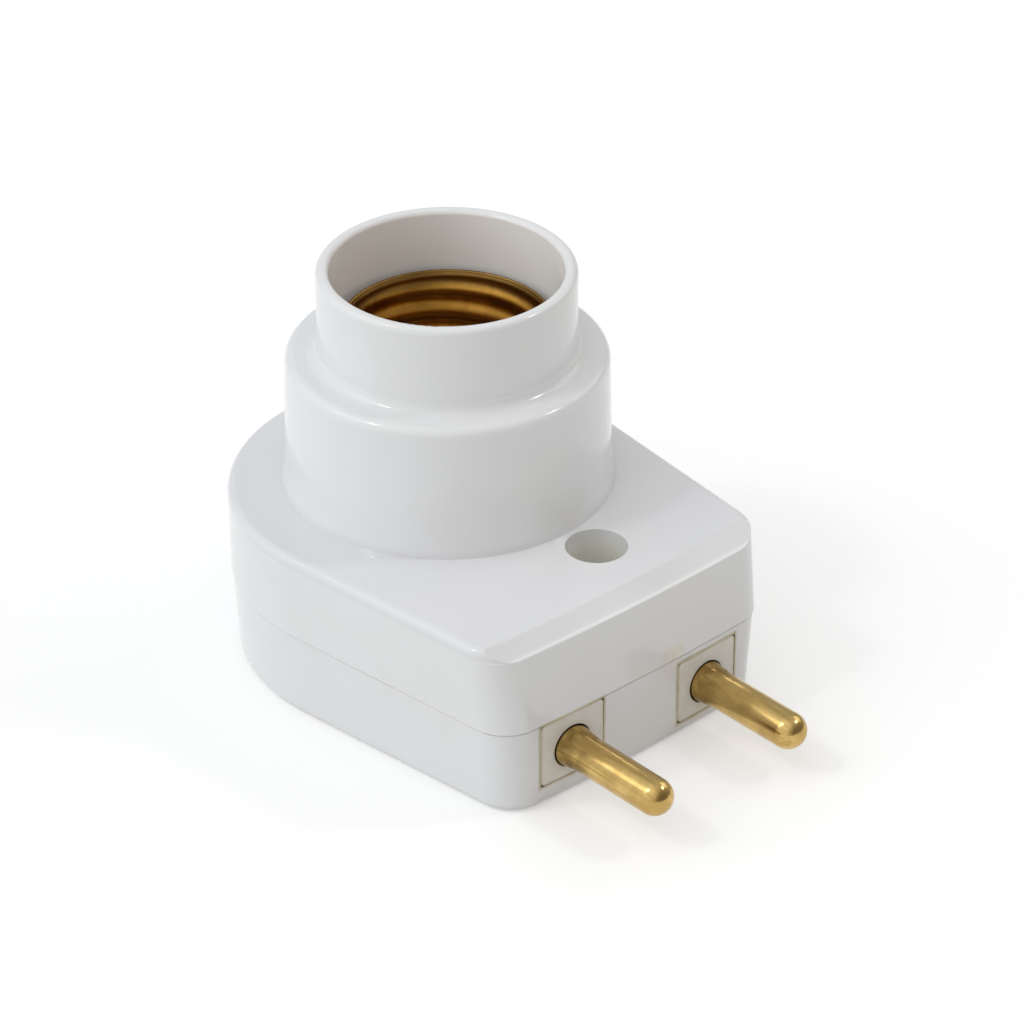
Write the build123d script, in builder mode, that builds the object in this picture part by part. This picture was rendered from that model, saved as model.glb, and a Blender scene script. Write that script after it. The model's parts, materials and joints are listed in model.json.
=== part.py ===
from build123d import *
from math import acos, atan2, cos, hypot, radians, sin
import os

os.makedirs("parts", exist_ok=True)

# All lengths are millimetres. The origin is the lamp axis on the table, +Z is up,
# and the two plug pins point along -Y.

# Heights above the table
split_z = 12.4
housing_top_z = 24.5
shoulder_z = 43.1
rim_top_z = 55.2

# Plan of the housing at the parting plane: a round back, straight sides and a bowed front.
# The body sits a little to the left of the lamp axis.
housing_x = -2.2
split_back_r = 27.5
split_width = 46.4
split_front_y = 39.2
corner_r = 5.5
front_bow = 0.7

# How far each wall leans outwards from the parting plane to the top, and to the table
top_back_lean = 0.1
top_side_lean = 0.6
top_front_lean = -1.7
base_back_lean = -0.9
base_side_lean = -1.2
base_front_lean = -0.1

# Edges of the housing
top_edge_round = 1.1
front_chamfer_depth = 2.6
front_chamfer_drop = 1.7
base_edge_round = 1.3
split_step = 0.15
seam_groove = 0.15

# Walls
wall = 2.2
floor_thickness = 1.8
fit_gap = 0.1

# Rim, shoulder and collar round the lamp, each measured outwards from the one inside it
mouth_gap = 1.4
rim_wall = 1.7
shoulder_width = 4.25
collar_base_flare = 0.35
collar_foot_flare = 0.9
collar_foot_height = 4.5
shoulder_round = 1.3
shoulder_fillet = 1.6
rim_outer_round = 0.8
rim_inner_round = 0.6
collar_rib_count = 6
collar_rib_thickness = 1.4
collar_rib_angle = 310

# Tongue of the base cover and rebate of the upper housing
tongue_thickness = 1.0
tongue_height = 1.8

# Screw that holds the two halves together, deep in its well
screw_x = 1.7
screw_past_collar = 4.75
well_r = 4.1
well_wall = 1.5
well_depth = 9.0
well_floor = 2.3
boss_r = 4.0
housing_screw_r = 1.5
housing_screw_length = 12.0
housing_screw_head_r = 3.1
housing_screw_head = 2.2
housing_screw_head_round = 1.0
drive_slot = 0.8
drive_cross = 4.0
drive_depth = 1.3

# Plug pins and the two inserts that hold them
pin_spacing = 23.7
pin_above_insert_foot = 4.25
pin_r = 2.5
pin_neck_r = 2.3
pin_reach = 17.2
pin_recess_r = 3.0
pin_recess_depth = 0.8
pin_flange_r = 3.4
pin_flange = 2.0
pin_tail_r = 1.5
insert_width = 10.4
insert_corner_r = 0.8
insert_gap = 0.2
insert_flange_width = 12.0
insert_flange_depth = 5.7
right_insert_drop = 1.0
press_rib = 1.5
press_rib_length = 3.5

# Terminals behind the inserts
strip_width = 6.0
strip_thickness = 0.8
strip_shift = 1.0
strip_foot_z = 3.6
strip_bend_r = 0.7
washer_r = 3.1
washer_thickness = 0.6
nut_across_flats = 5.5
nut_thickness = 2.4
tail_past_nut = 0.6

# Insulating carrier under the lamp bore
carrier_overlap = 1.45
carrier_thickness = 4.1
spigot_height = 1.2
carrier_edge = 0.5
carrier_screw_angle = 280
carrier_screw_r = 1.25
carrier_screw_bite = 8.0
carrier_screw_head_r = 2.6
carrier_screw_head = 1.6
carrier_screw_head_edge = 0.6
carrier_boss_r = 2.7
carrier_boss_past_screw = 1.5

# Screwed shell for an E27 lamp cap
shell_top_z = 47.2
shell_crest_r = 12.4
shell_wave_depth = 0.9
shell_thickness = 0.35
shell_foot_width = 3.7
shell_pitch = 3.62
shell_crest_flat = 0.7
shell_lip_flare = 0.6
shell_lip_height = 1.0
shell_plain_foot = 2.4
shell_plain_top = 2.2

# Contact spring and rivets
contact_width = 6.0
contact_thickness = 0.6
contact_gap = 1.0
contact_foot = 2.6
contact_rise = 3.2
contact_flat = 2.4
rivet_r = 1.2
rivet_head_r = 1.6
rivet_head = 0.7
rivet_head_edge = 0.35
shell_rivet_angle = -30
shell_rivet_inset = 1.9

# Derived places
top_back_r = split_back_r + top_back_lean
top_width = split_width + 2 * top_side_lean
top_front_y = split_front_y + top_front_lean
base_back_r = split_back_r + base_back_lean
base_width = split_width + 2 * base_side_lean
base_front_y = split_front_y + base_front_lean
housing_under_z = housing_top_z - wall
carrier_under_z = housing_under_z - carrier_thickness
carrier_top_z = housing_under_z + spigot_height
shell_root_r = shell_crest_r + shell_wave_depth
shell_lip_r = shell_root_r + shell_lip_flare
shell_flange_r = shell_root_r - shell_foot_width
shell_rivet_circle_r = shell_root_r - shell_rivet_inset
contact_rivet_x = contact_foot + contact_gap - shell_flange_r
mouth_r = shell_lip_r + mouth_gap
rim_r = mouth_r + rim_wall
collar_top_r = rim_r + shoulder_width
collar_base_r = collar_top_r + collar_base_flare
collar_foot_r = collar_top_r + collar_foot_flare
collar_bore_r = collar_top_r - wall
carrier_r = collar_bore_r + carrier_overlap
carrier_screw_circle_r = (rim_r + collar_bore_r) / 2
screw_y = -(collar_foot_r + screw_past_collar)
shoulder_under_z = shoulder_z - wall
well_seat_z = housing_top_z - well_depth
well_under_z = well_seat_z - well_floor
well_outer_r = well_r + well_wall
front_face_y = -(split_front_y + front_bow)
pin_tip_y = front_face_y - pin_reach
pin_sides = {"left": -1, "right": 1}

# The inserts seat behind the bowed front wall, where it lies furthest back. The left one
# reaches up to the parting plane and the right one down to the floor of the base cover.
insert_reach = (pin_spacing + insert_flange_width) / base_width
insert_seat_y = wall + fit_gap - base_front_y - front_bow * (1 - insert_reach**2)
insert_back_y = insert_seat_y + insert_flange_depth
insert_height = split_z - floor_thickness - right_insert_drop - 2 * insert_gap
insert_foot_z = {
    "left": floor_thickness + insert_gap + right_insert_drop,
    "right": floor_thickness + insert_gap,
}
flange_front_y = insert_back_y - pin_flange
washer_y = insert_back_y + strip_thickness
nut_y = washer_y + washer_thickness
tail_y = nut_y + nut_thickness + tail_past_nut


def pin_x(side):
    """X of the pin on one side of the housing's own middle."""
    return housing_x + side * pin_spacing / 2


def pin_z(side_name):
    """Height of the pin's axis in the insert of one side."""
    return insert_foot_z[side_name] + pin_above_insert_foot


def on_circle(radius, angle):
    """Point of the XY plane at a radius and an angle in degrees."""
    return radius * cos(radians(angle)), radius * sin(radians(angle))


def plan(back_r, front_width, front_y):
    """D-shaped outline: round back, tangent sides, bowed front, rounded front corners."""
    half = front_width / 2
    turn = acos(back_r / hypot(half, front_y)) - atan2(front_y, half)
    touch_x = back_r * cos(turn)
    touch_y = back_r * sin(turn)
    with BuildSketch() as outline:
        with BuildLine():
            ThreePointArc((touch_x, touch_y), (0, back_r), (-touch_x, touch_y))
            Line((-touch_x, touch_y), (-half, -front_y))
            ThreePointArc((-half, -front_y), (0, -front_y - front_bow), (half, -front_y))
            Line((half, -front_y), (touch_x, touch_y))
        make_face()
        fillet(outline.vertices().sort_by(Axis.Y)[:2], corner_r)
    return outline.sketch


def near(sketch, x, y):
    """Corner of a sketch nearest to a point of the sketch."""
    return sketch.vertices().sort_by_distance((x, y, 0))[0]


def plan_plane(z):
    """Plane at a height, with its origin at the middle of the housing's round back."""
    return Plane((housing_x, 0, z))


def base_outside():
    """Outer form of the base cover, without its hollow."""
    with BuildPart() as outside:
        with BuildSketch(plan_plane(0)):
            add(plan(base_back_r, base_width, base_front_y))
        with BuildSketch(plan_plane(split_z - seam_groove)):
            add(plan(split_back_r, split_width, split_front_y))
            offset(amount=-split_step)
        with BuildSketch(plan_plane(split_z)):
            add(plan(split_back_r, split_width, split_front_y))
            offset(amount=-split_step - seam_groove)
        loft(ruled=True)
        fillet(outside.faces().sort_by(Axis.Z)[0].edges(), base_edge_round)
    return outside.part


def facing(x, y, z):
    """Plane that looks along -Y from a point, with its own X along +X."""
    return Plane((x, y, z), x_dir=(1, 0, 0), z_dir=(0, -1, 0))


base_solid = base_outside()

# Upper housing: the D-shaped body with its stepped collar, moulded in one piece
with BuildPart() as upper_housing:
    with BuildSketch(plan_plane(split_z)):
        add(plan(split_back_r, split_width, split_front_y))
        offset(amount=-seam_groove)
    with BuildSketch(plan_plane(split_z + seam_groove)):
        add(plan(split_back_r, split_width, split_front_y))
    with BuildSketch(plan_plane(housing_top_z)):
        add(plan(top_back_r, top_width, top_front_y))
    loft(ruled=True)

    # Chamfer along the bowed front, which fades out round the corners
    half_front = top_width / 2
    bow_r = (half_front**2 + front_bow**2) / (2 * front_bow)
    chamfer_slope = front_chamfer_depth / front_chamfer_drop
    body_height = housing_top_z - split_z
    cone_low_r = bow_r + chamfer_slope * (body_height - front_chamfer_drop)
    with Locations((housing_x, bow_r - top_front_y - front_bow, split_z)):
        Cone(
            bottom_radius=cone_low_r,
            top_radius=bow_r - front_chamfer_depth,
            height=body_height,
            align=(Align.CENTER, Align.CENTER, Align.MIN),
            mode=Mode.INTERSECT,
        )
    fillet(upper_housing.faces().sort_by(Axis.Z)[-1].edges(), top_edge_round)

    # Hollow under the top wall, and the rebate for the tongue of the base cover
    with BuildSketch(plan_plane(split_z)):
        add(plan(split_back_r, split_width, split_front_y))
        offset(amount=-wall)
    with BuildSketch(plan_plane(housing_under_z)):
        add(plan(top_back_r, top_width, top_front_y))
        offset(amount=-wall)
    loft(ruled=True, mode=Mode.SUBTRACT)
    with BuildSketch(plan_plane(split_z)):
        add(plan(split_back_r, split_width, split_front_y))
        offset(amount=tongue_thickness + fit_gap - wall)
    extrude(amount=tongue_height + fit_gap, mode=Mode.SUBTRACT)

    # Collar with its flared foot, shoulder and rim, turned about the lamp axis
    foot_end_z = housing_top_z + collar_foot_height
    with BuildSketch(Plane.XZ) as collar_section:
        with BuildLine():
            Polyline(
                (collar_foot_r, housing_top_z),
                (collar_foot_r, housing_under_z),
                (collar_bore_r, housing_under_z),
                (collar_bore_r, shoulder_under_z),
                (rim_r, shoulder_under_z),
                (rim_r, housing_under_z),
                (mouth_r, housing_under_z),
                (mouth_r, rim_top_z),
                (rim_r, rim_top_z),
                (rim_r, shoulder_z),
                (collar_top_r, shoulder_z),
                (collar_base_r, foot_end_z),
            )
            TangentArc((collar_base_r, foot_end_z), (collar_foot_r, housing_top_z), tangent=(0, -1))
        make_face()
        fillet(near(collar_section, collar_top_r, shoulder_z), shoulder_round)
        fillet(near(collar_section, rim_r, shoulder_z), shoulder_fillet)
        fillet(near(collar_section, rim_r, rim_top_z), rim_outer_round)
        fillet(near(collar_section, mouth_r, rim_top_z), rim_inner_round)
    revolve(axis=Axis.Z)

    # Lamp bore and collar hollow through the top wall
    with BuildSketch(Plane.XY.offset(housing_under_z)):
        Circle(collar_bore_r)
        Circle(rim_r, mode=Mode.SUBTRACT)
    extrude(amount=wall, mode=Mode.SUBTRACT)
    with BuildSketch(Plane.XY.offset(housing_under_z)):
        Circle(mouth_r)
    extrude(amount=wall, mode=Mode.SUBTRACT)

    # Ribs between the inner tube and the collar
    with BuildSketch(Plane.XY.offset(housing_under_z)):
        with PolarLocations(carrier_screw_circle_r, collar_rib_count, start_angle=collar_rib_angle):
            Rectangle(collar_bore_r - rim_r + 2 * fit_gap, collar_rib_thickness)
    extrude(amount=shoulder_under_z - housing_under_z)

    # Bosses for the two carrier screws, blended into the same gap
    with BuildSketch(Plane.XY.offset(housing_under_z)):
        with PolarLocations(carrier_screw_circle_r, 2, start_angle=carrier_screw_angle):
            Circle(carrier_boss_r)
        Circle(mouth_r, mode=Mode.SUBTRACT)
    extrude(amount=carrier_screw_bite + carrier_boss_past_screw)
    with BuildSketch(Plane.XY.offset(housing_under_z)):
        with PolarLocations(carrier_screw_circle_r, 2, start_angle=carrier_screw_angle):
            Circle(carrier_screw_r)
    extrude(amount=carrier_screw_bite, mode=Mode.SUBTRACT)

    # Deep well for the housing screw
    with BuildSketch(Plane((screw_x, screw_y, well_under_z))):
        Circle(well_outer_r)
    extrude(amount=housing_under_z - well_under_z)
    with BuildSketch(Plane((screw_x, screw_y, well_seat_z))):
        Circle(well_r)
    extrude(amount=well_depth, mode=Mode.SUBTRACT)
    with BuildSketch(Plane((screw_x, screw_y, well_under_z))):
        Circle(housing_screw_r + fit_gap)
    extrude(amount=well_floor, mode=Mode.SUBTRACT)

    # Ribs that keep the pin inserts down
    for side_name, side in pin_sides.items():
        rib_y = insert_seat_y + fit_gap + press_rib_length / 2 + tongue_thickness
        rib_foot_z = insert_foot_z[side_name] + insert_height + fit_gap
        with BuildSketch(Plane((pin_x(side), rib_y, rib_foot_z))):
            Rectangle(press_rib, press_rib_length)
        extrude(amount=housing_under_z - rib_foot_z)
upper_housing.part.label = "upper_housing"
export_step(upper_housing.part, "parts/upper_housing.step")

# Base cover: a tray with a tongue that locates it in the upper housing
with BuildPart() as base_cover:
    add(base_solid)
    with BuildSketch(plan_plane(floor_thickness)):
        add(plan(base_back_r, base_width, base_front_y))
        offset(amount=-wall)
    with BuildSketch(plan_plane(split_z)):
        add(plan(split_back_r, split_width, split_front_y))
        offset(amount=-wall)
    loft(ruled=True, mode=Mode.SUBTRACT)
    with BuildSketch(plan_plane(split_z)):
        add(plan(split_back_r, split_width, split_front_y))
        offset(amount=tongue_thickness - wall)
    extrude(amount=tongue_height)
    with BuildSketch(plan_plane(split_z)):
        add(plan(split_back_r, split_width, split_front_y))
        offset(amount=-wall)
    extrude(amount=tongue_height, mode=Mode.SUBTRACT)

    # Boss that the housing screw bites into
    with BuildSketch(Plane((screw_x, screw_y, floor_thickness))):
        Circle(boss_r)
    extrude(amount=well_under_z - fit_gap - floor_thickness)
    with BuildSketch(Plane((screw_x, screw_y, well_seat_z))):
        Circle(housing_screw_r)
    extrude(amount=-housing_screw_length - fit_gap, mode=Mode.SUBTRACT)

    # Windows for the pin inserts
    for side_name, side in pin_sides.items():
        with BuildSketch(facing(pin_x(side), insert_seat_y, insert_foot_z[side_name] - insert_gap)):
            Rectangle(
                insert_width + 2 * insert_gap,
                insert_height + 2 * insert_gap,
                align=(Align.CENTER, Align.MIN),
            )
        extrude(amount=insert_seat_y - front_face_y + wall, mode=Mode.SUBTRACT)
base_cover.part.label = "base_cover"
export_step(base_cover.part, "parts/base_cover.step")

# Pin inserts and plug pins, one pair on each side
for side_name, side in pin_sides.items():
    pin_axis_x = pin_x(side)
    pin_axis_z = pin_z(side_name)
    insert_middle_z = insert_foot_z[side_name] + insert_height / 2

    # The insert's nose fills its window flush with the front, and its wider back seats inside
    with BuildPart() as pin_block:
        with BuildSketch(facing(pin_axis_x, insert_seat_y, insert_middle_z)):
            RectangleRounded(insert_width, insert_height, insert_corner_r)
        extrude(amount=insert_seat_y - front_face_y + wall)
        add(base_solid, mode=Mode.INTERSECT)
        with BuildSketch(facing(pin_axis_x, insert_back_y, insert_middle_z)):
            Rectangle(insert_flange_width, insert_height)
        extrude(amount=insert_back_y - insert_seat_y)
        with BuildSketch(facing(pin_axis_x, insert_back_y, pin_axis_z)):
            Circle(pin_r + fit_gap)
        extrude(amount=insert_back_y - pin_tip_y, mode=Mode.SUBTRACT)
        with BuildSketch(facing(pin_axis_x, insert_back_y, pin_axis_z)):
            Circle(pin_flange_r)
        extrude(amount=pin_flange, mode=Mode.SUBTRACT)
        with BuildSketch(facing(pin_axis_x, front_face_y + pin_recess_depth, pin_axis_z)):
            Circle(pin_recess_r)
        extrude(amount=pin_recess_depth, mode=Mode.SUBTRACT)
    pin_block.part.label = "pin_block_" + side_name
    export_step(pin_block.part, "parts/pin_block_" + side_name + ".step")

    # The pin is turned: rounded tip, shank, neck and flange inside the insert, tail for the nut
    with BuildPart() as plug_pin:
        with BuildSketch(Plane((pin_axis_x, 0, pin_axis_z))):
            with BuildLine():
                Polyline(
                    (0, pin_tip_y),
                    (0, tail_y),
                    (pin_tail_r, tail_y),
                    (pin_tail_r, insert_back_y),
                    (pin_flange_r, insert_back_y),
                    (pin_flange_r, flange_front_y),
                    (pin_neck_r, flange_front_y),
                    (pin_neck_r, front_face_y),
                    (pin_r, front_face_y),
                    (pin_r, pin_tip_y + pin_r),
                )
                TangentArc((pin_r, pin_tip_y + pin_r), (0, pin_tip_y), tangent=(0, -1))
            make_face()
        revolve(axis=Axis((pin_axis_x, 0, pin_axis_z), (0, 1, 0)))
    plug_pin.part.label = "plug_pin_" + side_name
    export_step(plug_pin.part, "parts/plug_pin_" + side_name + ".step")

    # Washer and nut that clamp the strip on the tail
    with BuildPart() as pin_washer:
        with BuildSketch(facing(pin_axis_x, nut_y, pin_axis_z)):
            Circle(washer_r)
            Circle(pin_tail_r + fit_gap, mode=Mode.SUBTRACT)
        extrude(amount=washer_thickness)
    pin_washer.part.label = "pin_washer_" + side_name
    export_step(pin_washer.part, "parts/pin_washer_" + side_name + ".step")

    with BuildPart() as pin_nut:
        with BuildSketch(facing(pin_axis_x, nut_y + nut_thickness, pin_axis_z)):
            RegularPolygon(nut_across_flats / 2, 6, major_radius=False)
            Circle(pin_tail_r, mode=Mode.SUBTRACT)
        extrude(amount=nut_thickness)
    pin_nut.part.label = "pin_nut_" + side_name
    export_step(pin_nut.part, "parts/pin_nut_" + side_name + ".step")

# Insulating carrier: a disc against the housing's top wall, with a spigot in the lamp bore
with BuildPart() as contact_carrier:
    with BuildSketch(Plane.XY.offset(carrier_under_z)):
        Circle(carrier_r)
    extrude(amount=carrier_thickness)
    chamfer(contact_carrier.faces().sort_by(Axis.Z)[0].edges(), carrier_edge)
    with BuildSketch(Plane.XY.offset(housing_under_z)):
        Circle(mouth_r - fit_gap)
    extrude(amount=spigot_height)
    with BuildSketch(Plane.XY.offset(carrier_under_z)):
        with PolarLocations(carrier_screw_circle_r, 2, start_angle=carrier_screw_angle):
            Circle(carrier_screw_r + fit_gap)
        with PolarLocations(shell_rivet_circle_r, 2, start_angle=shell_rivet_angle):
            Circle(rivet_r)
        with Locations((contact_rivet_x, 0)):
            Circle(rivet_r)
    extrude(amount=carrier_thickness + spigot_height, mode=Mode.SUBTRACT)
contact_carrier.part.label = "contact_carrier"
export_step(contact_carrier.part, "parts/contact_carrier.step")

# Screwed shell: brass sheet with rolled waves, a turned-in foot and a rolled lip
wave_start_z = carrier_top_z + shell_plain_foot
wave_end_z = shell_top_z - shell_plain_top
wave_count = int((wave_end_z - wave_start_z) / shell_pitch)
wave_low_z = wave_end_z - wave_count * shell_pitch
ramp = (shell_pitch - 2 * shell_crest_flat) / 2
shell_seat_z = carrier_top_z + shell_thickness
shell_foot = [(shell_flange_r, carrier_top_z), (shell_flange_r, shell_seat_z), (shell_root_r, shell_seat_z)]
shell_inside = []
for wave in range(wave_count):
    low_z = wave_low_z + wave * shell_pitch
    shell_inside.append((shell_root_r, low_z))
    shell_inside.append((shell_crest_r, low_z + ramp))
    shell_inside.append((shell_crest_r, low_z + ramp + shell_crest_flat))
    shell_inside.append((shell_root_r, low_z + shell_pitch - shell_crest_flat))
shell_inside.append((shell_root_r, shell_top_z - shell_lip_height))
shell_inside.append((shell_lip_r - shell_thickness, shell_top_z))
shell_outside = [(r + shell_thickness, z) for r, z in reversed(shell_inside)]
shell_under = [(shell_root_r + shell_thickness, carrier_top_z)]
with BuildPart() as thread_shell:
    with BuildSketch(Plane.XZ):
        with BuildLine():
            Polyline(*shell_foot, *shell_inside, *shell_outside, *shell_under, close=True)
        make_face()
    revolve(axis=Axis.Z)
    with BuildSketch(Plane.XY.offset(carrier_top_z)):
        with PolarLocations(shell_rivet_circle_r, 2, start_angle=shell_rivet_angle):
            Circle(rivet_r)
    extrude(amount=shell_thickness, mode=Mode.SUBTRACT)
thread_shell.part.label = "thread_shell"
export_step(thread_shell.part, "parts/thread_shell.step")

# Centre contact: a brass tongue that rises from its rivet to the lamp axis
contact_start_x = contact_rivet_x - contact_foot
contact_bend_x = contact_rivet_x + contact_foot
with BuildPart() as centre_contact:
    with BuildSketch(Plane.XZ.offset(-contact_width / 2)):
        with BuildLine():
            Polyline(
                (contact_start_x, carrier_top_z),
                (contact_bend_x, carrier_top_z),
                (-contact_flat / 2, carrier_top_z + contact_rise),
                (contact_flat, carrier_top_z + contact_rise),
                (contact_flat, carrier_top_z + contact_rise + contact_thickness),
                (-contact_flat / 2, carrier_top_z + contact_rise + contact_thickness),
                (contact_bend_x, carrier_top_z + contact_thickness),
                (contact_start_x, carrier_top_z + contact_thickness),
                close=True,
            )
        make_face()
    extrude(amount=contact_width)
    with BuildSketch(Plane((contact_rivet_x, 0, carrier_top_z))):
        Circle(rivet_r)
    extrude(amount=contact_thickness, mode=Mode.SUBTRACT)
centre_contact.part.label = "centre_contact"
export_step(centre_contact.part, "parts/centre_contact.step")

# Strips that join the pin tails to the contacts: each a foot plate behind the insert,
# bent at the top into an arm that lies under the carrier
strip_ends = {"line_strip": "left", "neutral_strip": "right"}
arm_under_z = carrier_under_z - strip_thickness
shell_rivet_x, shell_rivet_y = on_circle(shell_rivet_circle_r, shell_rivet_angle)
for strip_name, side_name in strip_ends.items():
    side = pin_sides[side_name]
    strip_x = pin_x(side) + side * strip_shift
    arm_end_y = strip_width / 2 if side_name == "left" else shell_rivet_y + strip_width / 2
    with BuildPart() as strip:
        with BuildSketch(Plane((strip_x, 0, 0), x_dir=(0, 1, 0), z_dir=(1, 0, 0))) as bend:
            with BuildLine():
                Polyline(
                    (insert_back_y, strip_foot_z),
                    (insert_back_y, carrier_under_z),
                    (arm_end_y, carrier_under_z),
                    (arm_end_y, arm_under_z),
                    (washer_y, arm_under_z),
                    (washer_y, strip_foot_z),
                    close=True,
                )
            make_face()
            fillet(near(bend, washer_y, arm_under_z), strip_bend_r)
            fillet(near(bend, insert_back_y, carrier_under_z), strip_bend_r + strip_thickness)
        extrude(amount=strip_width / 2, both=True)
        if side_name == "left":
            arm_length = contact_rivet_x + strip_width - strip_x
            with BuildSketch(Plane.XY.offset(arm_under_z)):
                with Locations((contact_rivet_x + strip_width / 2, 0)):
                    Rectangle(arm_length, strip_width, align=(Align.MAX, Align.CENTER))
            extrude(amount=strip_thickness)
        rivet_places = {"left": (contact_rivet_x, 0), "right": (shell_rivet_x, shell_rivet_y)}
        with BuildSketch(Plane.XY.offset(arm_under_z)):
            with Locations(rivet_places[side_name]):
                Circle(rivet_r)
        extrude(amount=strip_thickness, mode=Mode.SUBTRACT)
        with BuildSketch(facing(pin_x(side), washer_y, pin_z(side_name))):
            Circle(pin_tail_r + fit_gap)
        extrude(amount=strip_thickness, mode=Mode.SUBTRACT)
    strip.part.label = strip_name
    export_step(strip.part, "parts/" + strip_name + ".step")


def stepped_pin(x, y, steps):
    """Turned piece on a vertical axis, from a list of (radius, lower z, upper z)."""
    with BuildPart() as turned:
        for radius, low_z, high_z in steps:
            with BuildSketch(Plane((x, y, low_z))):
                Circle(radius)
            extrude(amount=high_z - low_z)
    return turned.part


# Rivets: the centre one holds the contact, the other two hold the shell
contact_top_z = carrier_top_z + contact_thickness
back_rivet_x, back_rivet_y = on_circle(shell_rivet_circle_r, shell_rivet_angle + 180)
rivets = {
    "contact_rivet": (contact_rivet_x, 0, arm_under_z, contact_top_z),
    "shell_rivet_front": (shell_rivet_x, shell_rivet_y, arm_under_z, shell_seat_z),
    "shell_rivet_back": (back_rivet_x, back_rivet_y, carrier_under_z, shell_seat_z),
}
for rivet_name, (rivet_x, rivet_y, grip_low_z, grip_high_z) in rivets.items():
    with BuildPart() as rivet:
        add(
            stepped_pin(
                rivet_x,
                rivet_y,
                [
                    (rivet_head_r, grip_low_z - rivet_head, grip_low_z),
                    (rivet_r, grip_low_z, grip_high_z),
                    (rivet_head_r, grip_high_z, grip_high_z + rivet_head),
                ],
            )
        )
        rims = rivet.edges().filter_by(GeomType.CIRCLE).sort_by(Axis.Z)
        chamfer([rims[0], rims[-1]], rivet_head_edge)
    rivet.part.label = rivet_name
    export_step(rivet.part, "parts/" + rivet_name + ".step")

# Screws that hold the carrier up against the housing
for screw_name, turn in {"carrier_screw_front": 0, "carrier_screw_back": 180}.items():
    carrier_screw_x, carrier_screw_y = on_circle(carrier_screw_circle_r, carrier_screw_angle + turn)
    with BuildPart() as carrier_screw:
        add(
            stepped_pin(
                carrier_screw_x,
                carrier_screw_y,
                [
                    (carrier_screw_head_r, carrier_under_z - carrier_screw_head, carrier_under_z),
                    (carrier_screw_r, carrier_under_z, housing_under_z + carrier_screw_bite - fit_gap),
                ],
            )
        )
        chamfer(carrier_screw.edges().sort_by(Axis.Z)[0], carrier_screw_head_edge)
        slot_plane = Plane((carrier_screw_x, carrier_screw_y, carrier_under_z - carrier_screw_head))
        with BuildSketch(slot_plane):
            Rectangle(2 * carrier_screw_head_r, drive_slot)
        extrude(amount=drive_slot, mode=Mode.SUBTRACT)
    carrier_screw.part.label = screw_name
    export_step(carrier_screw.part, "parts/" + screw_name + ".step")

# Screw in the well, which holds the base cover to the upper housing
with BuildPart() as housing_screw:
    add(
        stepped_pin(
            screw_x,
            screw_y,
            [
                (housing_screw_r, well_seat_z - housing_screw_length, well_seat_z),
                (housing_screw_head_r, well_seat_z, well_seat_z + housing_screw_head),
            ],
        )
    )
    fillet(housing_screw.edges().sort_by(Axis.Z)[-1], housing_screw_head_round)
    with BuildSketch(Plane((screw_x, screw_y, well_seat_z + housing_screw_head))):
        Rectangle(drive_cross, drive_slot)
        Rectangle(drive_slot, drive_cross)
    extrude(amount=-drive_depth, mode=Mode.SUBTRACT)
housing_screw.part.label = "housing_screw"
export_step(housing_screw.part, "parts/housing_screw.step")
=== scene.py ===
# %% [markdown]
# # A plug-in lamp holder
# The object is a small white lamp holder that plugs straight into a wall outlet. A lamp is
# screwed into the brass shell in its round mouth, and two brass pins stand out of the front.
# The CAD model already has the moulded shapes at their real sizes, so this scene keeps those
# solids and spends its work on finishes and on the pieces that a CAD file leaves plain.

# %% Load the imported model
import json
from math import cos, hypot, pi, radians, sin

import bmesh
import bpy
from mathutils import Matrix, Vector


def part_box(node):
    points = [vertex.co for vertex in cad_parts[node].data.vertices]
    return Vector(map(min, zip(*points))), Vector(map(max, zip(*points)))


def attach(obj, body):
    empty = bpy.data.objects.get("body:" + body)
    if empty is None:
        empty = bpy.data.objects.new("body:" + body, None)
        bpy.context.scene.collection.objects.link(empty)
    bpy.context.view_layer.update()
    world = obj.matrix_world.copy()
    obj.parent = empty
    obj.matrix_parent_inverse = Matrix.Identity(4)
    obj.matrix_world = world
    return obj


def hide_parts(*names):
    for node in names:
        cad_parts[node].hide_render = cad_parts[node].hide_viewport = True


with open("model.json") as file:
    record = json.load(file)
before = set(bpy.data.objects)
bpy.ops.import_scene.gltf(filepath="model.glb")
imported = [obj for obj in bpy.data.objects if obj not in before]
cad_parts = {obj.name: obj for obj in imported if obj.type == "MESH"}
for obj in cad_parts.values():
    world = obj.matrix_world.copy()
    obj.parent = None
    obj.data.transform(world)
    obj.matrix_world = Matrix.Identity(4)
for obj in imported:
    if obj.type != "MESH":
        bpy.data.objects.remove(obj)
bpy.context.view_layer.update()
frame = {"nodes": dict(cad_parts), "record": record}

# %% [markdown]
# ## Measures
# Blender works in metres, so one millimetre gets a name, and everything below is written with
# it. Places are read from the boxes of the CAD solids where a box shows them, so they can't
# drift away from the model. The heights of the parting plane and of the top are numbers.

# %% Name the measures that several pieces share
MM = 0.001


def middle(node):
    """Middle of a CAD node's box."""
    low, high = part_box(node)
    return (low + high) / 2


shell_low, shell_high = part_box("thread_shell")
screw_middle = middle("housing_screw")
pin_middle = {side: middle("plug_pin_" + side) for side in ("left", "right")}
SPLIT_Z = 12.4 * MM
TOP_Z = 24.5 * MM
print("pin axes at", {side: tuple(round(c / MM, 2) for c in p) for side, p in pin_middle.items()})

# %% [markdown]
# ## Camera
# The camera stands where the photographer stood: 42 degrees round to the left of the pins and
# 32 degrees up, with a long lens, which is why the verticals hardly converge. Working from an
# angle, a distance and a point to look at is easier to read than a matrix of numbers.

# %% Place the camera
CAMERA_AROUND = radians(-42.09)
CAMERA_UP = radians(31.92)
CAMERA_DISTANCE = 568.84 * MM
CAMERA_SIDEWAYS = 8.41 * MM
CAMERA_AIM_Z = 17.93 * MM
CAMERA_LENS = 149.9

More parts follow.
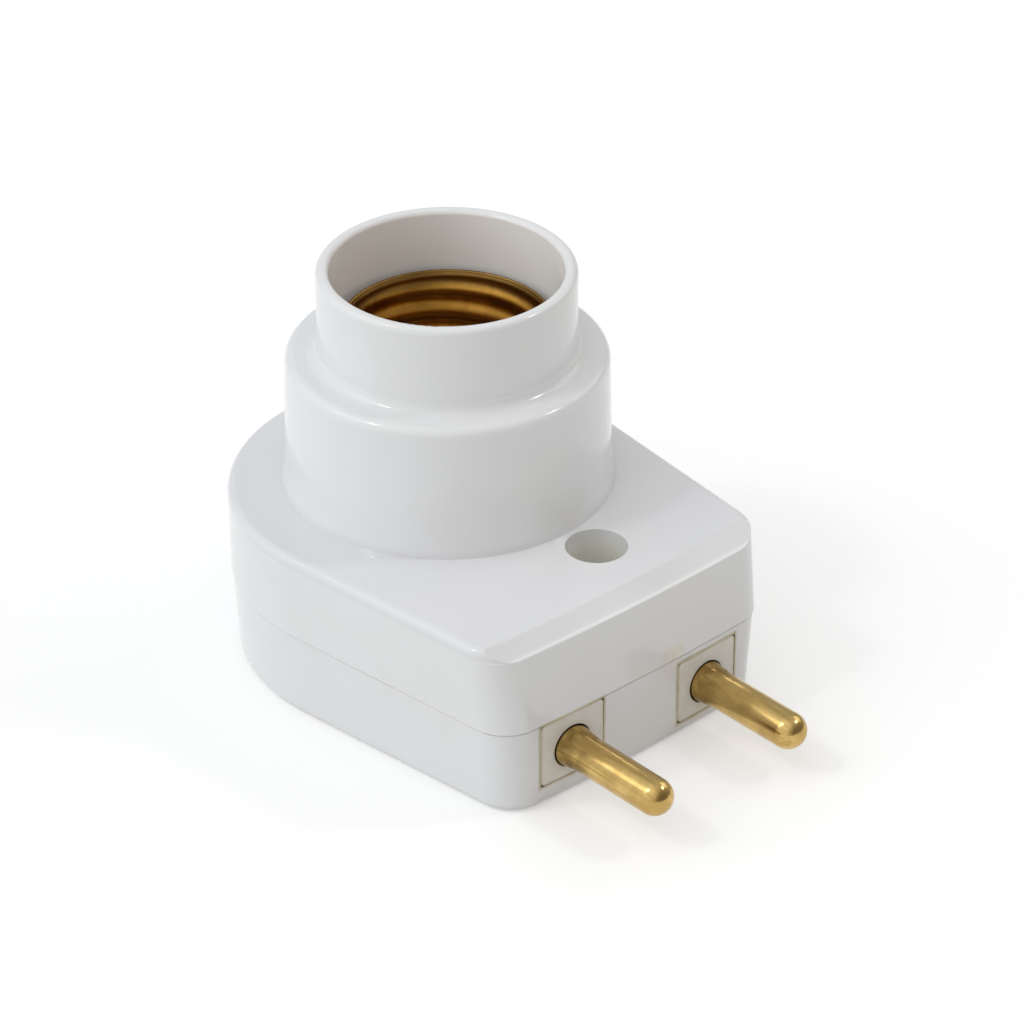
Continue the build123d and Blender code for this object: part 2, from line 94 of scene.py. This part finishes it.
aim = Vector((CAMERA_SIDEWAYS * cos(CAMERA_AROUND), CAMERA_SIDEWAYS * sin(CAMERA_AROUND), CAMERA_AIM_Z))
to_camera = Vector((
    sin(CAMERA_AROUND) * cos(CAMERA_UP),
    -cos(CAMERA_AROUND) * cos(CAMERA_UP),
    sin(CAMERA_UP),
))
camera_data = bpy.data.cameras.new("camera")
camera_data.lens = CAMERA_LENS
camera_data.sensor_width = 36
camera_data.clip_start = 10 * MM
camera = bpy.data.objects.new("camera", camera_data)
bpy.context.scene.collection.objects.link(camera)
camera.location = aim + to_camera * CAMERA_DISTANCE
camera.rotation_euler = (-to_camera).to_track_quat("-Z", "Y").to_euler()
bpy.context.scene.camera = camera
print("camera at", tuple(round(c / MM, 1) for c in camera.location))

# %% [markdown]
# ## Node helpers
# Every finish below is a small network of nodes. A few helpers keep them short: they add a node
# and set its sockets, add a Math node, make a smooth step, split the coordinates, add a noise,
# mix two colours, start a material and turn a height into a bump. Object coordinates are metres
# here, so a noise of scale 200 has blotches of about 5 mm.

# %% Make the node helpers
def add_node(tree, kind, values=None, **settings):
    """New node of a kind. values sets sockets or links them, and settings sets properties."""
    node = tree.nodes.new(kind)
    for name, value in settings.items():
        setattr(node, name, value)
    for socket, value in (values or {}).items():
        if isinstance(value, bpy.types.NodeSocket):
            tree.links.new(value, node.inputs[socket])
        else:
            node.inputs[socket].default_value = value
    return node


def maths(tree, operation, first, second=0.0, third=0.0, clamp=False):
    """Output of a Math node."""
    node = add_node(tree, "ShaderNodeMath", {0: first, 1: second, 2: third}, operation=operation)
    node.use_clamp = clamp
    return node.outputs[0]


def between(tree, value, low, high):
    """0 below low, 1 above high, and a smooth step between them."""
    values = {"Value": value, "From Min": low, "From Max": high}
    return add_node(tree, "ShaderNodeMapRange", values, interpolation_type="SMOOTHSTEP").outputs["Result"]


def place(tree):
    """Object coordinates as three sockets."""
    coordinates = add_node(tree, "ShaderNodeTexCoord")
    return add_node(tree, "ShaderNodeSeparateXYZ", {0: coordinates.outputs["Object"]}).outputs


def noise(tree, scale, detail=2.0, stretch=(1, 1, 1), shift=(0, 0, 0)):
    """Height of a noise on Object coordinates, stretched by a Mapping node."""
    coordinates = add_node(tree, "ShaderNodeTexCoord")
    values = {"Vector": coordinates.outputs["Object"], "Scale": stretch, "Location": shift}
    mapping = add_node(tree, "ShaderNodeMapping", values)
    values = {"Vector": mapping.outputs["Vector"], "Scale": scale, "Detail": detail}
    return add_node(tree, "ShaderNodeTexNoise", values).outputs["Fac"]


def mixed(tree, amount, first, second):
    """Colour between two colours. A Mix node keeps its colour sockets at 6 and 7."""
    return add_node(tree, "ShaderNodeMix", {0: amount, 6: first, 7: second}, data_type="RGBA").outputs[2]


def new_finish(name):
    """New material: gives it, its node tree and its main shader."""
    material = bpy.data.materials.new(name)
    material.use_nodes = True
    return material, material.node_tree, material.node_tree.nodes["Principled BSDF"]


def bump(tree, height, distance):
    """Normal of a bump, with its height in metres."""
    return add_node(tree, "ShaderNodeBump", {"Height": height, "Distance": distance}).outputs["Normal"]


# %% [markdown]
# ## Light
# A product photograph on white is lit from all around, and the glints tell where its lamps
# are. One wide weak lamp stands behind on the left and one on the right, so the front falls
# into half shade. Two small bright ones act as windows: glossy plastic mirrors them as the
# short glints on the shoulder, and being small they add little to the light of the whole.
#
# The world is a white room with three soft changes, each made from the angle to one direction.
# It is brighter on the left, like a lit wall, and brighter overhead, so the shadow on the floor
# stays short and light falls into the mouth. It is darker and warmer in front, where the
# photographer stands. Polished brass needs that dark side: metal shows only what it reflects,
# and with white on all sides it would look like yellow paint. All of it is kept at a level at
# which white plastic stays just under white.

# %% Set the lamps and the world
def soft_lamp(name, towards, distance, size, energy, colour):
    """Square area lamp that stands in a direction from the object and looks at its middle."""
    lamp_data = bpy.data.lights.new(name, "AREA")
    lamp_data.shape = "SQUARE"
    lamp_data.size = size
    lamp_data.energy = energy
    lamp_data.color = colour
    lamp = bpy.data.objects.new(name, lamp_data)
    bpy.context.scene.collection.objects.link(lamp)
    direction = Vector(towards).normalized()
    lamp.location = Vector((0, 0, 20 * MM)) + direction * distance
    lamp.rotation_euler = (-direction).to_track_quat("-Z", "Y").to_euler()
    print(name, "at", tuple(round(c, 2) for c in lamp.location))


soft_lamp("left_lamp", (-0.62, 0.38, 0.62), 0.9, 0.4, 0.6, (0.96, 0.98, 1.0))
soft_lamp("right_lamp", (0.8, -0.1, 0.55), 1.0, 0.5, 0.85, (1.0, 0.99, 0.98))
soft_lamp("left_window", (-0.58, 0.2, 0.79), 0.9, 0.1, 0.65, (0.96, 0.98, 1.0))
soft_lamp("right_window", (0.55, -0.4, 0.73), 0.9, 0.1, 0.75, (1.0, 0.99, 0.98))

ROOM = 0.51
room_sides = (
    ((-0.8, 0.1, 0.55), 0.2, 0.5),
    ((0.0, 0.0, 1.0), 0.4, 0.14),
    ((0.25, -0.95, 0.15), 0.3, -0.27),
)
world = bpy.data.worlds.new("white_room")
bpy.context.scene.world = world
world.use_nodes = True
tree = world.node_tree
direction = add_node(tree, "ShaderNodeTexCoord").outputs["Generated"]
strength = ROOM
for towards, start, change in room_sides:
    values = {0: direction, 1: Vector(towards).normalized()}
    facing = add_node(tree, "ShaderNodeVectorMath", values, operation="DOT_PRODUCT").outputs["Value"]
    strength = maths(tree, "MULTIPLY_ADD", between(tree, facing, start, 1.0), change, strength)
background = tree.nodes["Background"]
tint = mixed(tree, between(tree, facing, -0.2, 0.9), (0.955, 0.982, 1, 1), (1, 0.955, 0.89, 1))
tree.links.new(tint, background.inputs["Color"])
tree.links.new(strength, background.inputs["Strength"])

bpy.context.scene.view_settings.view_transform = "Standard"

# %% [markdown]
# ## Floor
# The floor is one big plane of white paper. It keeps the object's soft shadow, because most of
# what it shows is ordinary diffuse paper. A little glow is added for the rays that come from
# the camera, from a mirror reflection or through glass, which lifts the lit paper to full
# white. Light Path tells the shader which kind of ray asks.

# %% Lay the floor
FLOOR_HALF = 2.0
PAPER_GLOW = 0.33
floor_mesh = bmesh.new()
bmesh.ops.create_grid(floor_mesh, x_segments=1, y_segments=1, size=FLOOR_HALF)
floor_data = bpy.data.meshes.new("floor")
floor_mesh.to_mesh(floor_data)
floor_mesh.free()
floor = bpy.data.objects.new("floor", floor_data)
bpy.context.scene.collection.objects.link(floor)

paper, tree, shader = new_finish("floor_paper")
shader.inputs["Base Color"].default_value = (0.75, 0.75, 0.75, 1)
shader.inputs["Roughness"].default_value = 1.0
shader.inputs["Specular IOR Level"].default_value = 0.0
ray = add_node(tree, "ShaderNodeLightPath")
seen = maths(tree, "ADD", ray.outputs["Is Camera Ray"], ray.outputs["Is Glossy Ray"])
seen = maths(tree, "ADD", seen, ray.outputs["Is Transmission Ray"], clamp=True)
glow = add_node(tree, "ShaderNodeEmission", {"Strength": maths(tree, "MULTIPLY", seen, PAPER_GLOW)})
both = add_node(tree, "ShaderNodeAddShader", {0: shader.outputs[0], 1: glow.outputs[0]})
tree.links.new(both.outputs[0], tree.nodes["Material Output"].inputs["Surface"])
floor_data.materials.append(paper)
print("floor", 2 * FLOOR_HALF, "m wide")

# %% [markdown]
# ## White plastic
# The housing is moulded in a hard glossy plastic. Seen close it isn't one flat white: the
# surface has a faint waviness from the mould, rubbed areas where the gloss is duller, and a
# warmer tone where dirt and age settle. Dirt settles in known places, and some marks are
# painted light or shade, so each gets a mask worked out from Object coordinates. Dirt: a
# smudge above the parting line, a thin line along the parting of the two halves, and the
# joints round the inserts. The parting line is dirtiest in front, where hands take hold of
# the plug. Painted shade: a darker, bluer tone on the top and the chamfer. Painted highlight:
# a light line along the edge under the chamfer. Painted light: a lighter, warmer tone inside
# the mouth, and a lighter tone in the well of the screw on top of its own yellow tint.

# %% Make the white plastic of the housing
NEAR_FRONT = -34 * MM
TOP_SHADE_START = 0.4 * MM
TOP_SHADE_END = 1.2 * MM
SEAM_HALF = 0.16 * MM
SEAM_CLEAN = -4 * MM
SEAM_DIRTY = -16 * MM
CHAMFER_DROP = 1.7 * MM
EDGE_HIGHLIGHT_HALF = 0.13 * MM
WELL_R = 4.1 * MM
MOUTH_R = 15.3 * MM
INSERT_WIDTH = 10.4 * MM
JOINT = 0.2 * MM
STAIN_REACH = 0.5 * MM
STAIN_TONE = (0.55, 0.5, 0.34, 1)
SMUDGE = Vector((3.5, -39.9, 13.6)) * MM
SMUDGE_REACH = 2.2 * MM


def away_from(tree, centre, scale=(1, 1, 1)):
    """Distance from a point, in metres, measured in stretched Object coordinates."""
    coordinates = add_node(tree, "ShaderNodeTexCoord")
    values = {0: coordinates.outputs["Object"], 1: centre}
    offset = add_node(tree, "ShaderNodeVectorMath", values, operation="SUBTRACT").outputs[0]
    values = {0: offset, 1: scale}
    stretched = add_node(tree, "ShaderNodeVectorMath", values, operation="MULTIPLY").outputs[0]
    return add_node(tree, "ShaderNodeVectorMath", {0: stretched}, operation="LENGTH").outputs["Value"]


def joint_stain(tree):
    """Patchy mask along the joint round each insert, on the front only.

    The distance from a rectangle is the larger of two distances, one across and one up.
    """
    here = place(tree)
    distances = []
    for side in ("left", "right"):
        low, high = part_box("pin_block_" + side)
        across = maths(tree, "ABSOLUTE", maths(tree, "SUBTRACT", here["X"], pin_middle[side].x))
        across = maths(tree, "SUBTRACT", across, (INSERT_WIDTH + JOINT) / 2)
        up = maths(tree, "ABSOLUTE", maths(tree, "SUBTRACT", here["Z"], (low.z + high.z) / 2))
        up = maths(tree, "SUBTRACT", up, (high.z - low.z + JOINT) / 2)
        distances.append(maths(tree, "ABSOLUTE", maths(tree, "MAXIMUM", across, up)))
    stain = between(tree, maths(tree, "MINIMUM", *distances), STAIN_REACH, 0.2 * STAIN_REACH)
    stain = maths(tree, "MULTIPLY", stain, between(tree, here["Y"], NEAR_FRONT, NEAR_FRONT - 2 * MM))
    patchy = between(tree, noise(tree, 250, 3.0, shift=(5, 0, 2)), 0.3, 0.65)
    return maths(tree, "MULTIPLY", stain, maths(tree, "MULTIPLY_ADD", patchy, 0.5, 0.3))


def moulded_gloss(tree, shader, glossy, duller):
    """Roughness with rubbed areas, and a normal with the faint waves of a mould."""
    rubbed = between(tree, noise(tree, 70, 3.0, shift=(3, 1, 2)), 0.3, 0.75)
    tree.links.new(maths(tree, "MULTIPLY_ADD", rubbed, duller, glossy), shader.inputs["Roughness"])
    tree.links.new(bump(tree, noise(tree, 90, 1.0), 0.03 * MM), shader.inputs["Normal"])


housing_white, tree, shader = new_finish("housing_white")
clean, aged, grime = (0.83, 0.835, 0.85, 1), (0.8, 0.79, 0.765, 1), (0.55, 0.52, 0.44, 1)
blotches = between(tree, noise(tree, 60, 3.0), 0.4, 0.75)
tone = mixed(tree, maths(tree, "MULTIPLY", blotches, 0.35), clean, aged)

here = place(tree)
chamfer_z = TOP_Z - CHAMFER_DROP
# Painted shade: the top face and the chamfer are made a darker, bluer grey.
top_shade = between(tree, here["Z"], chamfer_z, chamfer_z + TOP_SHADE_START)
below_collar = between(tree, here["Z"], TOP_Z + TOP_SHADE_END, TOP_Z + TOP_SHADE_END - 1 * MM)
top_shade = maths(tree, "MULTIPLY", top_shade, below_collar)
tone = mixed(tree, maths(tree, "MULTIPLY", top_shade, 0.6), tone, (0.765, 0.765, 0.79, 1))

smudge = between(tree, away_from(tree, SMUDGE, (0.6, 0.3, 1.3)), SMUDGE_REACH, 0.4 * MM)
smudge = maths(tree, "MULTIPLY", smudge, between(tree, noise(tree, 900, 3.0), 0.3, 0.65))
tone = mixed(tree, maths(tree, "MULTIPLY", smudge, 0.7), tone, (0.78, 0.72, 0.56, 1))

# Painted highlight: a thin light line along the lower edge of the chamfer, in front only.
off_edge = maths(tree, "ABSOLUTE", maths(tree, "SUBTRACT", here["Z"], chamfer_z))
edge_highlight = between(tree, off_edge, EDGE_HIGHLIGHT_HALF, 0.3 * EDGE_HIGHLIGHT_HALF)
in_front = between(tree, here["Y"], NEAR_FRONT, NEAR_FRONT - 3 * MM)
edge_highlight = maths(tree, "MULTIPLY", edge_highlight, in_front)
tone = mixed(tree, maths(tree, "MULTIPLY", edge_highlight, 0.6), tone, (0.98, 0.98, 0.98, 1))

# The well of the screw: its own yellow tint, and painted light that makes it lighter than the plastic round
# it.
well_axis = Vector((screw_middle.x, screw_middle.y, 0))
well_tint_and_light = between(tree, away_from(tree, well_axis, (1, 1, 0)), WELL_R + 0.5 * MM, WELL_R - 0.1 * MM)
below_top = between(tree, here["Z"], TOP_Z - 0.1 * MM, TOP_Z - 3 * MM)
tone = mixed(tree, maths(tree, "MULTIPLY", well_tint_and_light, below_top), tone, (0.88, 0.87, 0.8, 1))

# Painted light: the inside of the mouth is made lighter and warmer than the rest of the housing.
mouth = between(tree, away_from(tree, (0, 0, 0), (1, 1, 0)), MOUTH_R + 0.2 * MM, MOUTH_R)
tone = mixed(tree, mouth, tone, (0.96, 0.94, 0.91, 1))

off_seam = maths(tree, "ABSOLUTE", maths(tree, "SUBTRACT", here["Z"], SPLIT_Z))
seam = between(tree, off_seam, SEAM_HALF, 0.4 * SEAM_HALF)
patchy = between(tree, noise(tree, 220, 3.0), 0.25, 0.6)
seam = maths(tree, "MULTIPLY", seam, maths(tree, "MULTIPLY_ADD", patchy, 0.4, 0.1))
handled = between(tree, here["Y"], SEAM_CLEAN, SEAM_DIRTY)
seam = maths(tree, "MULTIPLY", seam, maths(tree, "MULTIPLY_ADD", handled, 0.75, 0.25))
tone = mixed(tree, seam, tone, grime)
tone = mixed(tree, joint_stain(tree), tone, STAIN_TONE)
tree.links.new(tone, shader.inputs["Base Color"])
moulded_gloss(tree, shader, 0.1, 0.06)

# %% [markdown]
# The inserts round the pins are a different, yellower moulding, and they have been handled more.
# Dirt has crept in round the foot of each pin, so the tone darkens towards the pin's axis. The
# wall of the recess round each pin is painted shade, made nearly black.

# %% Make the plastic of the pin inserts
RECESS_R = 3.0 * MM
DIRT_R = 4.0 * MM

insert_white, tree, shader = new_finish("insert_white")
blotches = between(tree, noise(tree, 350, 4.0), 0.35, 0.7)
tone = mixed(tree, maths(tree, "MULTIPLY", blotches, 0.4), (0.8, 0.785, 0.74, 1), (0.7, 0.67, 0.58, 1))
rings = [away_from(tree, Vector((p.x, 0, p.z)), (1, 0, 1)) for p in pin_middle.values()]
to_pin = maths(tree, "MINIMUM", *rings)
foot = between(tree, to_pin, DIRT_R, RECESS_R - 0.1 * MM)
tone = mixed(tree, maths(tree, "MULTIPLY", foot, 0.2), tone, (0.45, 0.4, 0.28, 1))
# Painted shade: the wall of the recess round each pin is made nearly black.
recess = between(tree, to_pin, RECESS_R + 0.1 * MM, RECESS_R)
tone = mixed(tree, recess, tone, (0.14, 0.1, 0.055, 1))
tone = mixed(tree, joint_stain(tree), tone, STAIN_TONE)
tree.links.new(tone, shader.inputs["Base Color"])
moulded_gloss(tree, shader, 0.3, 0.12)
print("plastics:", housing_white.name, insert_white.name)

# %% [markdown]
# ## Brass and steel
# The pins are drawn bar and have gone a little dull, with fine streaks along their length, a
# darker foot where nobody's fingers reach, and a scratch along the left one. A streak is a noise
# squeezed across the pin and stretched along it. The shell is pressed sheet, tarnished near its
# lip, and looks much deeper in colour because it mostly reflects itself. On a metal the base
# colour tints the reflection, so the two finishes differ in colour, in roughness and in the
# direction of their streaks. The screws are zinc-plated steel, and the disc under the lamp is
# unglazed ceramic with a fine speckle.

# %% Make the metals
def metal(name, bright, dull, roughness, streak_scale, streak_stretch, streak_height):
    """Metal with dull patches in its colour and streaks in its gloss and bump."""
    material, tree, shader = new_finish(name)
    shader.inputs["Metallic"].default_value = 1.0
    patches = between(tree, noise(tree, 260, 4.0), 0.35, 0.65)
    streaks = noise(tree, streak_scale, 3.0, stretch=streak_stretch)
    worn = maths(tree, "MULTIPLY", between(tree, streaks, 0.4, 0.7), 0.6)
    tone = mixed(tree, maths(tree, "MAXIMUM", worn, maths(tree, "MULTIPLY", patches, 0.6)), bright, dull)
    tree.links.new(tone, shader.inputs["Base Color"])
    tree.links.new(maths(tree, "MULTIPLY_ADD", streaks, 0.15, roughness), shader.inputs["Roughness"])
    tree.links.new(bump(tree, streaks, streak_height), shader.inputs["Normal"])
    return material, tree, shader, tone


SCRATCH_UP = 0.56 * MM
SCRATCH_HALF = 0.12 * MM
SCRATCH_START = -47 * MM
SCRATCH_END = -51 * MM
ROOT_START = -44.5 * MM
ROOT_END = -41 * MM
FACE_Y = -39.75 * MM
TARNISH_START = 2.4 * MM
TARNISH_FULL = 1.2 * MM

pin_brass, tree, shader, tone = metal(
    "pin_brass", (0.7, 0.49, 0.18, 1), (0.4, 0.25, 0.075, 1), 0.12, 1600, (1, 0.05, 1), 0.012 * MM
)
here = place(tree)
pin_root = between(tree, here["Y"], ROOT_START, ROOT_END)
pin_root = maths(tree, "MULTIPLY", pin_root, between(tree, noise(tree, 500, 3.0), 0.25, 0.6))
tone = mixed(tree, maths(tree, "MULTIPLY", pin_root, 0.7), tone, (0.3, 0.19, 0.06, 1))
# Painted shade: the part of each pin that sits in its recess is made nearly black.
pin_recess_shade = between(tree, here["Y"], FACE_Y, FACE_Y + 0.25 * MM)
tone = mixed(tree, pin_recess_shade, tone, (0.1, 0.07, 0.035, 1))
off_scratch = maths(tree, "ABSOLUTE", maths(tree, "SUBTRACT", here["Z"], pin_middle["left"].z + SCRATCH_UP))
scratch = between(tree, off_scratch, SCRATCH_HALF, 0.05 * MM)
scratch = maths(tree, "MULTIPLY", scratch, maths(tree, "LESS_THAN", here["X"], pin_middle["left"].x))
scratch = maths(tree, "MULTIPLY", scratch, between(tree, here["Y"], SCRATCH_END, SCRATCH_START))
tone = mixed(tree, maths(tree, "MULTIPLY", scratch, 0.6), tone, (0.2, 0.12, 0.03, 1))
tree.links.new(tone, shader.inputs["Base Color"])

shell_brass, tree, shader, tone = metal(
    "shell_brass", (0.52, 0.27, 0.05, 1), (0.34, 0.16, 0.026, 1), 0.28, 700, (1, 1, 0.4), 0.003 * MM
)
lip_z = shell_high.z
tarnish = between(tree, place(tree)["Z"], lip_z - TARNISH_START, lip_z - TARNISH_FULL)
tone = mixed(tree, maths(tree, "MULTIPLY", tarnish, 0.65), tone, (0.2, 0.13, 0.05, 1))
tree.links.new(tone, shader.inputs["Base Color"])
zinc_steel, _, _, _ = metal(
    "zinc_steel", (0.56, 0.57, 0.58, 1), (0.4, 0.4, 0.4, 1), 0.2, 900, (1, 1, 1), 0.003 * MM
)

ceramic, tree, shader = new_finish("carrier_ceramic")
speckle = between(tree, noise(tree, 700, 4.0), 0.45, 0.7)
tree.links.new(mixed(tree, speckle, (0.62, 0.57, 0.47, 1), (0.5, 0.45, 0.36, 1)), shader.inputs["Base Color"])
shader.inputs["Roughness"].default_value = 0.7
tree.links.new(bump(tree, speckle, 0.02 * MM), shader.inputs["Normal"])
print("metals:", pin_brass.name, shell_brass.name, zinc_steel.name)

# %% [markdown]
# ## Dress the CAD solids
# The solids of the housing already have every moulded edge, so they stay as they are, and each
# only gets its finish. The record says which finish slot a node has.

# %% Assign the finishes
finishes = {
    "housing_plastic": housing_white,
    "insert_plastic": insert_white,
    "pin_brass": pin_brass,
    "shell_brass": shell_brass,
    "zinc_steel": zinc_steel,
    "carrier_ceramic": ceramic,
}
slot_of = {part["node"]: part["material_slot"] for part in frame["record"]["subparts"]}
for node_name, node_object in frame["nodes"].items():
    node_object.data.materials.clear()
    node_object.data.materials.append(finishes[slot_of[node_name]])
print("dressed", len(frame["nodes"]), "solids")

# %% [markdown]
# ## The screwed shell
# The CAD shell has plain rings for its thread. The real one is thin brass sheet with one rolled
# wave that climbs round it like a staircase. It is made in two steps. First the section of a
# plain tube with a turned-in foot and a rolled lip is spun round the axis. Then every vertex of
# the wall moves in or out by a cosine whose phase turns with the angle: that is all a helix is.
# The wave fades out near both ends, as it does on a rolled shell.

# %% Spin the shell and roll its thread
PITCH = 3.62 * MM
PLAIN_R = 13.3 * MM
THREAD_DEPTH = 0.7 * MM
SHEET = 0.35 * MM
FOOT_R = 9.6 * MM
LIP_R = 13.9 * MM
LIP_HEIGHT = 0.7 * MM
WAVE_DROP = 0.94 * MM
WAVE_STARTS = (1.5 * MM, 4 * MM)
WAVE_ENDS = (3 * MM, 0.8 * MM)
ROW = 0.12 * MM
AROUND = 144


def ease(value, low, high):
    """0 at low, 1 at high, and a smooth step between them."""
    t = min(max((value - low) / (high - low), 0), 1)
    return t * t * (3 - 2 * t)


def link_piece(name, mesh_data, finish):
    """New smooth object from a bmesh, with one finish, that rides on the only body."""
    data = bpy.data.meshes.new(name)
    mesh_data.to_mesh(data)
    mesh_data.free()
    for polygon in data.polygons:
        polygon.use_smooth = True
    data.materials.append(finish)
    piece = bpy.data.objects.new(name, data)
    bpy.context.scene.collection.objects.link(piece)
    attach(piece, "root")
    return piece


foot_z = shell_low.z
rows = int((lip_z - foot_z - SHEET) / ROW)
heights = [foot_z + SHEET + (lip_z - foot_z - SHEET) * i / rows for i in range(rows + 1)]
inside = [(PLAIN_R + (LIP_R - SHEET - PLAIN_R) * ease(z, lip_z - LIP_HEIGHT, lip_z), z) for z in heights]
outside = [(r + SHEET, z) for r, z in reversed(inside)]
section = [(FOOT_R, foot_z + SHEET)] + inside + outside + [(PLAIN_R + SHEET, foot_z), (FOOT_R, foot_z)]

shell_mesh = bmesh.new()
points = [shell_mesh.verts.new((r, 0, z)) for r, z in section]
edges = [shell_mesh.edges.new((points[i - 1], points[i])) for i in range(len(points))]
bmesh.ops.spin(
    shell_mesh,
    geom=points + edges,
    cent=(0, 0, 0),
    axis=(0, 0, 1),
    angle=2 * pi,
    steps=AROUND,
    use_merge=True,
)
for vertex in shell_mesh.verts:
    radius = hypot(vertex.co.x, vertex.co.y)
    if radius > PLAIN_R - SHEET:
        turn = Vector((1, 0)).angle_signed(Vector((vertex.co.x, vertex.co.y)))
        phase = 2 * pi * (vertex.co.z - lip_z + WAVE_DROP) / PITCH + turn
        fade = ease(vertex.co.z, foot_z + WAVE_STARTS[0], foot_z + WAVE_STARTS[1])
        fade *= 1 - ease(vertex.co.z, lip_z - WAVE_ENDS[0], lip_z - WAVE_ENDS[1])
        inward = THREAD_DEPTH * fade * (1 - cos(phase)) / 2
        vertex.co.x *= (radius - inward) / radius
        vertex.co.y *= (radius - inward) / radius
bmesh.ops.recalc_face_normals(shell_mesh, faces=shell_mesh.faces)
rolled_shell = link_piece("rolled_shell", shell_mesh, shell_brass)
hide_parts("thread_shell")
print("shell:", len(rolled_shell.data.polygons), "faces")

# %% [markdown]
# ## Old glue round the inserts
# Each insert sits in its window with a narrow joint all round, and the joint is filled with old
# yellowed glue. It is a rectangle as large as the window, inset so that only a frame is left.
# The frame is a little wider than the joint, because glue spills over. The front wall is bowed,
# so the frame is subdivided and every vertex goes to the face of the wall at its own place.

# %% Fill the joints round the inserts
GLUE_SPILL = 0.05 * MM
GLUE_PROUD = 0.02 * MM
HOUSING_X = -2.2 * MM
FRONT_Y = 39.08 * MM
FRONT_BOW = 0.7 * MM
FRONT_HALF = 23.2 * MM

old_glue, tree, shader = new_finish("old_glue")
stained = between(tree, noise(tree, 500, 4.0), 0.35, 0.65)
tree.links.new(mixed(tree, stained, (0.72, 0.67, 0.5, 1), (0.56, 0.5, 0.32, 1)), shader.inputs["Base Color"])
shader.inputs["Roughness"].default_value = 0.55
tree.links.new(bump(tree, noise(tree, 1500, 3.0), 0.05 * MM), shader.inputs["Normal"])

for side in ("left", "right"):
    block_low, block_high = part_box("pin_block_" + side)
    reach = JOINT + GLUE_SPILL
    glue_mesh = bmesh.new()
    bmesh.ops.create_grid(glue_mesh, x_segments=1, y_segments=1, size=0.5)
    for vertex in glue_mesh.verts:
        vertex.co = Vector((
            pin_middle[side].x + vertex.co.x * (INSERT_WIDTH + 2 * reach),
            0,
            (block_low.z + block_high.z) / 2 + vertex.co.y * (block_high.z - block_low.z + 2 * reach),
        ))
    glue_mesh.normal_update()
    width = reach + GLUE_SPILL
    rim = bmesh.ops.inset_region(glue_mesh, faces=glue_mesh.faces, thickness=width, use_boundary=True)
    hole = [face for face in glue_mesh.faces if face not in rim["faces"]]
    bmesh.ops.delete(glue_mesh, geom=hole, context="FACES")
    bmesh.ops.subdivide_edges(glue_mesh, edges=glue_mesh.edges, cuts=7, use_grid_fill=True)
    for vertex in glue_mesh.verts:
        across = (vertex.co.x - HOUSING_X) / FRONT_HALF
        vertex.co.y = -GLUE_PROUD - FRONT_Y - FRONT_BOW * (1 - across**2)
    bmesh.ops.recalc_face_normals(glue_mesh, faces=glue_mesh.faces)
    glue = link_piece("joint_glue_" + side, glue_mesh, old_glue)
    print(glue.name, len(glue.data.polygons), "faces")

# %% [markdown]
# ## Flared feet of the pins
# Each pin widens a little where it leaves its insert, and fills the recess there all but a thin
# dark gap. The foot is a thin sleeve with a trumpet shape: its section is a short curve, spun
# round the pin's axis. Both ends of the curve lie just inside the pin, so the sleeve closes on
# the shank and runs out into it without a step.

# %% Spin the feet
PIN_R = 2.5 * MM
FOOT_GROWTH = 0.38 * MM
FOOT_LENGTH = 4.2 * MM
FOOT_INSIDE = 0.5 * MM
FOOT_STEPS = 12
FOOT_AROUND = 64
FOOT_SINK = 0.05 * MM
RUN_OUT_SINK = 0.01 * MM

for side in ("left", "right"):
    axis = pin_middle[side]
    face_y = -(FRONT_Y + FRONT_BOW * (1 - ((axis.x - HOUSING_X) / FRONT_HALF) ** 2))
    shares = [i / FOOT_STEPS for i in range(FOOT_STEPS + 1)]
    curve = [(FOOT_GROWTH * (1 - share) ** 2, share * FOOT_LENGTH) for share in shares]
    section = [(PIN_R - FOOT_SINK, face_y + FOOT_INSIDE), (PIN_R + FOOT_GROWTH, face_y + FOOT_INSIDE)]
    section += [(PIN_R - RUN_OUT_SINK + growth, face_y - along) for growth, along in curve]
    foot_mesh = bmesh.new()
    points = [foot_mesh.verts.new((axis.x + r, y, axis.z)) for r, y in section]
    edges = [foot_mesh.edges.new(pair) for pair in zip(points, points[1:])]
    bmesh.ops.spin(
        foot_mesh,
        geom=points + edges,
        cent=(axis.x, 0, axis.z),
        axis=(0, 1, 0),
        angle=2 * pi,
        steps=FOOT_AROUND,
        use_merge=True,
    )
    bmesh.ops.recalc_face_normals(foot_mesh, faces=foot_mesh.faces)
    foot = link_piece("pin_foot_" + side, foot_mesh, pin_brass)
    print(foot.name, len(foot.data.polygons), "faces")
